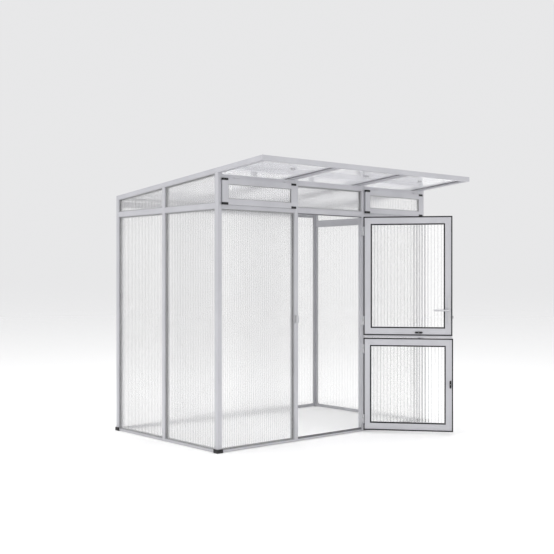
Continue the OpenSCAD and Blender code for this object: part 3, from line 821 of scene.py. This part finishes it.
@dataclass(frozen=True)
class FlutedSheet:
    """A clear sheet with a row of long channels between two skins.

    The skins are thinnest over the middle of a channel and thicken towards the ribs, so
    that each channel spreads what is behind it, as an extruded sheet does. across points
    over the channels and along follows them.
    """

    across: Place
    along: Place
    pitch: float = 22.0 * MM
    skin: float = 0.7 * MM
    rib: float = 0.8 * MM
    bow: float = 0.9 * MM
    steps: int = 10

    def section(self, width: float, thick: float) -> tuple[Points, Points, Points]:
        """The sheet's section over its width.

        A channel's height is greatest in its middle, and falls by the bow times the square
        of the distance from there, which is 1 at the ribs.

        Args:
            width: width of the sheet.
            thick: its thickness.

        Returns:
            The places over the width, half the channels' height there, and whether the
            step that follows each place lies over a channel.
        """
        count = max(1, round(width / self.pitch))
        cell = (width - self.rib) / count
        part = np.linspace(-1.0, 1.0, self.steps + 1)
        middle = self.rib + (cell - self.rib) / 2 + cell * np.arange(count)
        rise = thick / 2 - self.skin - self.bow * part**2
        places = np.concatenate([[0.0], (middle[:, None] + part * (cell - self.rib) / 2).ravel(), [width]])
        heights = np.concatenate([rise[:1], np.tile(rise, count), rise[-1:]])
        hollow = np.concatenate([[False], np.tile(np.arange(self.steps + 1) < self.steps, count)])
        return places, heights, hollow

    def mesh(self, points: Points) -> tuple[Points, Points, Points]:
        """The sheet that fills the place of a flat frame sheet.

        Four rows of the section, the two skins and the roofs and floors of the channels,
        are placed at the lower and the upper end. The upper end rises evenly from one side
        to the other. Quads join the ends, and close both ends and both sides.

        Args:
            points: the frame sheet's corner points.

        Returns:
            The corners, the four-cornered faces, and 1 for each face of a rib, or of a skin
            over a rib, or else 0.
        """
        over, along = np.array(self.across), np.array(self.along)
        basis = np.array([over, along, np.cross(over, along)])
        local = points @ basis.T
        low, high = local.min(0), local.max(0)
        near = 0.05 * MM
        tops = [
            local[local[:, 0] < low[0] + near, 1].max(),
            local[local[:, 0] > high[0] - near, 1].max(),
        ]
        places, heights, hollow = self.section(high[0] - low[0], high[2] - low[2])
        top = tops[0] + (tops[1] - tops[0]) * places / places[-1]
        middle = (low[2] + high[2]) / 2
        level = np.ones(len(places))
        rows = [high[2] * level, middle + heights, middle - heights, low[2] * level]
        ends = [low[1] * level, top]
        corners = np.array([
            np.column_stack([low[0] + places, end, row]) for end in ends for row in rows
        ])
        n = len(places)
        column = np.arange(n - 1)

        def strip(first: int, second: int, columns: Points) -> Points:
            """Quads between two rows, each over one step of the width."""
            return np.column_stack([
                first * n + columns, first * n + columns + 1, second * n + columns + 1, second * n + columns
            ])

        def wall(first: int, second: int, columns: Points) -> Points:
            """Quads from one end to the other, each between two rows at one place."""
            around = (first, second, second + 4, first + 4)
            return np.column_stack([row * n + columns for row in around])

        edges = np.array([0, n - 1])
        rib_edges = np.flatnonzero(np.diff(np.concatenate([hollow, [False]]).astype(int))) + 1
        plain = [
            strip(0, 4, column[hollow]), strip(3, 7, column[hollow]),
            strip(1, 5, column[hollow]), strip(2, 6, column[hollow]),
            strip(0, 1, column), strip(2, 3, column), strip(4, 5, column), strip(6, 7, column),
            strip(1, 2, column[~hollow]), strip(5, 6, column[~hollow]),
            wall(0, 1, edges), wall(1, 2, edges), wall(2, 3, edges),
        ]
        ribs = [wall(1, 2, rib_edges), strip(0, 4, column[~hollow]), strip(3, 7, column[~hollow])]
        kinds = np.repeat([0, 1], [sum(len(part) for part in parts) for parts in (plain, ribs)])
        return corners.reshape(-1, 3) @ basis, np.vstack([*plain, *ribs]), kinds


# ---- Round hardware ------------------------------------------------------------------


@dataclass(frozen=True)
class ScrewHead:
    """Pan head with a hexagon socket."""

    radius: float = 4.0 * MM
    height: float = 1.8 * MM
    socket: float = 1.7 * MM
    depth: float = 1.1 * MM
    sides: int = 18
    crown: tuple[tuple[float, float], ...] = ((1.0, 0.0), (1.0, 0.35), (0.86, 0.8), (0.62, 1.0))
    bore: tuple[tuple[float, float], ...] = ((1.0, 0.0), (1.0, 1.0), (0.02, 1.2))

    def mesh(self, place: Sequence[float], facing: Sequence[float]) -> tuple[Points, Points]:
        """One head on a surface.

        Rings are turned about the facing direction. The crown gives each ring's share of
        the radius and of the height, and the bore its share of the socket and its depth.
        The socket's rings have the radius of a hexagon: its inner radius over the cosine
        of the angle from the nearest flat.

        Args:
            place: the middle of the head's underside.
            facing: the direction that the head looks in.

        Returns:
            The corners and the four-cornered faces.
        """
        angle = np.arange(self.sides) * 2 * math.pi / self.sides
        flat = math.pi / 3
        hexagon = np.cos(flat / 2) / np.cos((angle + flat / 2) % flat - flat / 2)
        rings = [
            *((share * self.radius * np.ones(self.sides), rise * self.height) for share, rise in self.crown),
            *((share * self.socket * hexagon, self.height - drop * self.depth) for share, drop in self.bore),
        ]
        n = Vector(facing).normalized()
        u = n.orthogonal().normalized()
        v = n.cross(u)
        basis = np.array([u, v, n])
        local = [
            np.column_stack([radius * np.cos(angle), radius * np.sin(angle), np.full(self.sides, up)])
            for radius, up in rings
        ]
        first = np.arange(self.sides)
        after = (first + 1) % self.sides
        faces = [
            np.column_stack([
                k * self.sides + first, k * self.sides + after,
                (k + 1) * self.sides + after, (k + 1) * self.sides + first,
            ])
            for k in range(len(rings) - 1)
        ]
        return np.vstack(local) @ basis + np.array(place), np.vstack(faces)


# ---- Sub-assemblies ------------------------------------------------------------------


@dataclass
class CabinFrame:
    """Posts, rails, roof members and feet."""

    finishes: Finishes
    profile: Profile = field(default_factory=Profile)
    upright: tuple[str, ...] = (
        "front_left_post", "front_right_post", "rear_left_post", "rear_right_post",
        "door_post_left", "door_post_right", "side_posts", "rear_posts",
    )
    across: tuple[str, ...] = (
        "front_base_rails", "rear_base_rails", "threshold", "front_transoms",
        "front_headers", "rear_headers",
    )
    deep: tuple[str, ...] = ("side_base_rails", "side_transoms", "edge_rafters", "inner_rafters")
    parts: tuple[SoftPart, ...] = (
        SoftPart("fascia", 1.5 * MM, Slot.ALUMINIUM, Anodised(Axis.X), 3),
        SoftPart("rear_edge_trim", 1.5 * MM, Slot.ALUMINIUM, Anodised(Axis.X), 3),
        # painted shade: the door stops' grey stands partly for a seal's colour and partly for the shade on
        # the set-back stops
        SoftPart("door_stops", 1.5 * MM, Slot.GREY_RUBBER, GREY_RUBBER, 3),
        SoftPart("foot_pads", 2.5 * MM, Slot.PLASTIC, PLASTIC, 3),
        SoftPart("latch_keeper", 1.0 * MM, Slot.SILVER, SILVER),
    )

    def bars(self, node: str, along: Axis) -> None:
        """Replaces a node by its drawn bars.

        Args:
            node: the frame node that holds the bars.
            along: the axis that they run along.
        """
        bars = bars_of(node, along, self.profile)
        points, faces = joined(bar.mesh() for bar in bars)
        material = self.finishes.get(Anodised(along))
        piece = new_piece(node + "_drawn", points, faces, body_of(node), material)
        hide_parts(node)

    def build(self) -> None:
        """Makes every member of the frame."""
        for along, nodes in [(Axis.Z, self.upright), (Axis.X, self.across), (Axis.Y, self.deep)]:
            for node in nodes:
                self.bars(node, along)
        for part in self.parts:
            part.build(self.finishes)


@dataclass
class Glazing:
    """Fluted sheets, their rubbers and beads."""

    finishes: Finishes
    door_pitch: float = 29.0 * MM
    door_rib: float = 2.4 * MM
    lip: float = 0.6 * MM
    level: tuple[str, ...] = ("front_glazing", "rear_glazing", "left_vent_glazing", "right_vent_glazing")
    deep: tuple[str, ...] = ("left_glazing", "right_glazing")
    door: tuple[str, ...] = ("upper_leaf_glazing", "lower_leaf_glazing")
    black_rubbers: tuple[str, ...] = (
        "roof_gaskets", "upper_leaf_gasket", "upper_leaf_seal", "lower_leaf_gasket", "lower_leaf_seal",
    )

    def sheet(
        self, node: str, shape: FlutedSheet, skin: ClearSheet = SHEET, rib: ClearSheet = RIB
    ) -> None:
        """Replaces each sheet of a node by a fluted one.

        Args:
            node: the frame node that holds the sheets.
            shape: how the flutes run.
            skin: finish of the two skins.
            rib: finish of the ribs between them.
        """
        meshes = [shape.mesh(solid) for solid in solids(node)]
        points, faces = joined((corners, quads) for corners, quads, _ in meshes)
        material = self.finishes.get(skin)
        piece = new_piece(node + "_fluted", points, faces, body_of(node), material)
        piece.data.materials.append(self.finishes.get(rib))
        piece.data.polygons.foreach_set("material_index", np.concatenate([kinds for *_, kinds in meshes]))
        close(piece.data)
        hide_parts(node)

    def wall_rubber_and_painted_shade(self) -> None:
        """The walls' gaskets: a pale lip in front of each sheet, and behind it a black one, painted shade
        that darkens the recess beside each post.
        """
        piece = softened("wall_gaskets", self.lip, self.finishes.get(PALE_RUBBER))
        corners = np.vstack([*solids("front_left_post"), *solids("rear_right_post")])[:, :2]
        low, high = corners.min(0), corners.max(0)

        def depth(places: Points) -> Points:
            """How far places lie behind the outer face of their wall."""
            return np.minimum(places[:, :2] - low, high - places[:, :2]).min(1)

        reach = depth(np.vstack(solids("wall_gaskets")))
        middle = (reach.min() + reach.max()) / 2
        # painted shade: faces deeper than the gasket's middle get black rubber, as the shade in the recess
        paint(piece, self.finishes.get(BLACK_RUBBER), lambda middles, normals: depth(middles) > middle)

    def build(self) -> None:
        """Makes the sheets and softens the rubbers and beads."""
        right, back = (1.0, 0.0, 0.0), (0.0, 1.0, 0.0)
        for node in self.level:
            self.sheet(node, FlutedSheet(right, UP))
        for node in self.deep:
            self.sheet(node, FlutedSheet(back, UP))
        fall = math.radians(ROOF_PITCH)
        self.sheet("roof_glazing", FlutedSheet(right, (0.0, math.cos(fall), -math.sin(fall))), ROOF_SHEET)
        shape = FlutedSheet(tuple(door_directions()[0]), UP, self.door_pitch, rib=self.door_rib)
        for node in self.door:
            self.sheet(node, shape, DOOR_SHEET, DOOR_RIB)
        self.wall_rubber_and_painted_shade()
        for node in self.black_rubbers:
            softened(node, self.lip, self.finishes.get(BLACK_RUBBER))
        softened("glazing_beads", 1.0 * MM, self.finishes.get(Anodised(Axis.Z)))


@dataclass
class Vents:
    """The two top-hung vents and their hinges."""

    finishes: Finishes
    stile_w: float = 55.0 * MM
    lip: float = 0.6 * MM
    sash_edge: float = 0.8 * MM
    behind: float = 0.1 * MM
    parts: tuple[SoftPart, ...] = (
        SoftPart("left_vent_caps", 1.2 * MM, Slot.PLASTIC, PLASTIC, 3),
        SoftPart("right_vent_caps", 1.2 * MM, Slot.PLASTIC, PLASTIC, 3),
        SoftPart("vent_hinge_brackets", 0.4 * MM, Slot.SILVER, SILVER),
    )

    def rubber(self, node: str) -> None:
        """The seal behind a vent in black, and the pane's gasket pale with black lips: the black on the lips
        is painted shade in the recess.

        Args:
            node: the frame node that holds both.
        """
        piece = softened(node, self.lip, self.finishes.get(PALE_RUBBER))
        seal_front = max(group[:, 1].min() for group in solids(node)) - self.behind
        # painted shade: the gasket's sideways faces get black rubber for the shade in the recess; the seal
        # behind the vent is black rubber of its own
        paint(
            piece,
            self.finishes.get(BLACK_RUBBER),
            lambda middles, normals: (middles[:, 1] > seal_front) | (np.abs(normals[:, 1]) < 0.5),
        )

    def sash(self, node: str) -> None:
        """A vent's frame, with the drawing lines of its stiles upright.

        Args:
            node: the frame node that holds the stiles and the rails.
        """
        piece = softened(node, self.sash_edge, self.finishes.get(Anodised(Axis.X)))
        places = np.vstack(solids(node))[:, 0]
        middle, half = (places.min() + places.max()) / 2, np.ptp(places) / 2 - self.stile_w
        paint(
            piece,
            self.finishes.get(Anodised(Axis.Z)),
            lambda middles, normals: np.abs(middles[:, 0] - middle) > half,
        )

    def build(self) -> None:
        """Makes the frames, rubbers, caps and hinges."""
        for side in ("left", "right"):
            self.sash(f"{side}_vent_frame")
            self.rubber(f"{side}_vent_gaskets")
        for part in self.parts:
            part.build(self.finishes)


@dataclass
class Door:
    """Both leaves with their hinges, lock, levers and catches."""

    finishes: Finishes
    stile_w: float = 62.0 * MM
    leaf_edge: float = 0.9 * MM
    strip_edge: float = 0.8 * MM
    parts: tuple[SoftPart, ...] = (
        SoftPart("upper_leaf_hinges", 0.5 * MM, Slot.SILVER, SILVER),
        SoftPart("lower_leaf_hinges", 0.5 * MM, Slot.SILVER, SILVER),
        SoftPart("door_hinge_brackets", 0.5 * MM, Slot.SILVER, SILVER),
        SoftPart("door_hinge_pins", 0.4 * MM, Slot.SILVER, SILVER),
        SoftPart("handle_plates", 1.2 * MM, Slot.SILVER, SILVER, 3),
        SoftPart("lever_handles", 0.5 * MM, Slot.SILVER, SILVER),
        SoftPart("lock_case", 0.4 * MM, Slot.STEEL, STEEL),
        SoftPart("latch_bolt", 1.0 * MM, Slot.STEEL, STEEL),
        SoftPart("upper_catch_grip", 1.8 * MM, Slot.PLASTIC, PLASTIC, 4),
        SoftPart("upper_catch_tongue", 0.5 * MM, Slot.SILVER, SILVER),
        SoftPart("lower_catch", 1.8 * MM, Slot.PLASTIC, PLASTIC, 4),
    )

    def leaf(self, node: str, level: bpy.types.Material) -> None:
        """A leaf's frame, with upright drawing lines on its stiles and level ones between.

        Args:
            node: the frame node that holds the stiles and the rails.
            level: the metal with level drawing lines.
        """
        piece = softened(node, self.leaf_edge, self.finishes.get(Anodised(Axis.Z)))
        over = door_directions()[0]
        places = np.vstack(solids(node)) @ over
        middle, half = (places.min() + places.max()) / 2, np.ptp(places) / 2 - self.stile_w
        paint(piece, level, lambda middles, normals: np.abs(middles @ over - middle) < half)

    def build(self) -> None:
        """Makes the leaves and everything on them."""
        level = self.finishes.get(Anodised(Axis.X, -door_turn()))
        for node in ("upper_leaf_frame", "lower_leaf_frame"):
            self.leaf(node, level)
        softened("meeting_strip", self.strip_edge, level)
        for part in self.parts:
            part.build(self.finishes)


@dataclass
class Screws:
    """Screw heads on the hinges, the handle plates and the turn catches.

    On the door, places are worked out over the leaves' width, out of the cabin and up.
    """

    finishes: Finishes
    head: ScrewHead = field(default_factory=ScrewHead)
    small_head: ScrewHead = field(default_factory=lambda: ScrewHead(2.8 * MM, 1.2 * MM, 1.2 * MM, 0.8 * MM))
    plate_end: float = 11.5 * MM
    from_edge: float = 8.0 * MM
    spacing: float = 22.0 * MM
    leaf_spacing: float = 22.0 * MM / 1.4
    near: float = 1.0 * MM

    def piece(self, name: str, body: str, heads: list[tuple[Points, Points]]) -> None:
        """Makes one piece of several heads that ride on one body."""
        points, faces = joined(heads)
        new_piece(name, points, faces, body, self.finishes.get(STEEL))

    def on_brackets(self) -> None:
        """Two screws in the plate of each fixed door hinge, in front of the post."""
        heads = []
        for group in solids("door_hinge_brackets"):
            low, high = group.min(0), group.max(0)
            front = group[group[:, 0] > high[0] - self.near, 1].min()
            for rise in (-self.spacing, self.spacing):
                place = (high[0] - self.from_edge, front, (low[2] + high[2]) / 2 + rise)
                heads.append(self.head.mesh(place, (0.0, -1.0, 0.0)))
        self.piece("door_bracket_screws", "cabin", heads)

    def on_leaf_hinges(self) -> None:
        """Two screws in the plate of each moving door hinge, outside the stile."""
        basis = door_directions()
        for leaf in ("upper_leaf", "lower_leaf"):
            heads = []
            for group in solids(f"{leaf}_hinges"):
                local = group @ basis.T
                low, high = local.min(0), local.max(0)
                face = local[local[:, 0] < low[0] + self.near, 1].max()
                for step in (self.from_edge, self.from_edge + self.leaf_spacing):
                    place = np.array([low[0] + step, face, (low[2] + high[2]) / 2]) @ basis
                    heads.append(self.small_head.mesh(place, basis[1]))
            self.piece(f"{leaf}_hinge_screws", leaf, heads)

    def on_handle_plates(self) -> None:
        """A screw at the top and the bottom of both handle plates."""
        basis = door_directions()
        plates = [group @ basis.T for group in solids("handle_plates")]
        between = np.mean([plate[:, 1].mean() for plate in plates])
        heads = []
        for plate in plates:
            low, high = plate.min(0), plate.max(0)
            outer = plate[:, 1].mean() > between
            face, facing = (high[1], basis[1]) if outer else (low[1], -basis[1])
            for level in (low[2] + self.plate_end, high[2] - self.plate_end):
                place = np.array([(low[0] + high[0]) / 2, face, level]) @ basis
                heads.append(self.small_head.mesh(place, facing))
        self.piece("handle_plate_screws", "upper_leaf", heads)

    def on_catches(self) -> None:
        """The pivot screw in the grip of each turn catch, on the side that faces inwards."""
        basis = door_directions()
        for node in ("upper_catch_grip", "lower_catch"):
            local = np.vstack(solids(node)) @ basis.T
            low, high = local.min(0), local.max(0)
            place = np.array([(low[0] + high[0]) / 2, low[1], (low[2] + high[2]) / 2]) @ basis
            self.piece(f"{node}_screw", body_of(node), [self.small_head.mesh(place, -basis[1])])

    def build(self) -> None:
        """Makes every screw head."""
        self.on_brackets()
        self.on_leaf_hinges()
        self.on_handle_plates()
        self.on_catches()


# ---- Studio --------------------------------------------------------------------------


@dataclass(frozen=True)
class SoftLight:
    """A square soft light, placed and aimed in metres, with its power in watts."""

    name: str
    place: Place
    aim: Place
    size: float
    power: float

    def build(self) -> None:
        """Puts the light into the scene, unseen by the camera."""
        data = bpy.data.lights.new(self.name, "AREA")
        data.shape = "SQUARE"
        data.size = self.size
        data.energy = self.power
        lamp = bpy.data.objects.new(self.name, data)
        lamp.location = self.place
        lamp.rotation_euler = (Vector(self.aim) - Vector(self.place)).to_track_quat("-Z", "Y").to_euler()
        lamp.visible_camera = False
        bpy.context.scene.collection.objects.link(lamp)


@dataclass(frozen=True)
class Studio:
    """Pale floor, soft light and the camera."""

    eye: Place = (-5.600, -6.473, 1.358)
    yaw: float = 41.03
    pitch: float = -0.098
    lens: float = 61.66
    sensor: float = 36.0
    reach: float = 400.0
    sky: Colour = (0.805, 0.805, 0.812)
    dome: Colour = (0.92, 0.92, 0.925)
    floor_tone: Colour = (0.90, 0.90, 0.90)
    floor_sides: int = 96
    floor_radius: float = 160.0
    floor_fade: float = 14.0
    floor_glow: float = 0.12
    passes: int = 200
    bounces: int = 48
    lights: tuple[SoftLight, ...] = (
        SoftLight("key_light", (-7.0, -0.5, 5.5), (0.0, 0.0, 1.0), 5.0, 122.0),
        SoftLight("top_light", (0.5, -0.5, 7.5), (0.0, 0.0, 0.0), 6.0, 150.0),
    )

    def camera(self) -> None:
        """Camera at eye height; yaw turns it from +Y towards +X."""
        data = bpy.data.cameras.new("camera")
        data.lens = self.lens
        data.sensor_width = self.sensor
        data.clip_end = self.reach
        camera = bpy.data.objects.new("camera", data)
        camera.location = self.eye
        camera.rotation_euler = (math.radians(90 + self.pitch), 0.0, math.radians(-self.yaw))
        bpy.context.scene.collection.objects.link(camera)
        bpy.context.scene.camera = camera

    def floor(self) -> None:
        """A disc that fades into the sky: its cover is 1 / (1 + (r / fade) squared)."""
        count = self.floor_sides
        angle = np.arange(count) * 2 * math.pi / count
        ring = np.column_stack([np.cos(angle), np.sin(angle), np.zeros(count)]) * self.floor_radius
        mesh = bpy.data.meshes.new("floor")
        mesh.from_pydata(ring.tolist(), [], [list(range(count))])
        material, graph = graph_of("studio_floor")
        place = graph.node("ShaderNodeTexCoord").outputs["Object"]
        length = graph.node("ShaderNodeVectorMath", {"operation": "LENGTH"}, {0: place}).outputs["Value"]
        ratio = Value(graph, length) / self.floor_fade
        pale = graph.surface(
            Base_Color=(*self.floor_tone, 1.0),
            Roughness=0.9,
            Alpha=1 / (1 + ratio * ratio),
            Emission_Color=WHITE,
            Emission_Strength=self.floor_glow,
        )
        graph.finish(pale)
        mesh.materials.append(material)
        floor = bpy.data.objects.new("floor", mesh)
        bpy.context.scene.collection.objects.link(floor)

    def heaven(self) -> None:
        """The sky: one tone for the camera, and a brighter dome for every other ray."""
        world = bpy.data.worlds.new("sky")
        bpy.context.scene.world = world
        world.use_nodes = True
        graph = Graph(world.node_tree)
        dome, backdrop = (
            graph.node("ShaderNodeBackground", None, {"Color": (*tone, 1.0), "Strength": 1.0})
            for tone in (self.dome, self.sky)
        )
        seen = graph.node("ShaderNodeLightPath").outputs["Is Camera Ray"]
        sky = graph.mix(seen, dome, backdrop)
        graph.node("ShaderNodeOutputWorld", None, {"Surface": sky.outputs[0]})

    def build(self) -> None:
        """Makes the sky, the floor, the lights and the camera."""
        scene = bpy.context.scene
        scene.view_settings.view_transform = "Standard"
        scene.cycles.transparent_max_bounces = self.passes
        scene.cycles.max_bounces = self.bounces
        scene.cycles.transmission_bounces = self.bounces
        self.heaven()
        self.floor()
        for light in self.lights:
            light.build()
        self.camera()


def main() -> None:
    """Builds the studio and the cabin's sub-assemblies in order."""
    logging.basicConfig(level=logging.INFO, format="%(name)s: %(message)s")
    finishes = Finishes()
    Studio().build()
    assemblies = (
        CabinFrame(finishes), Glazing(finishes), Vents(finishes), Door(finishes), Screws(finishes)
    )
    for assembly in assemblies:
        assembly.build()
        LOG.info("built %s", type(assembly).__name__)


if __name__ == "__main__":
    main()
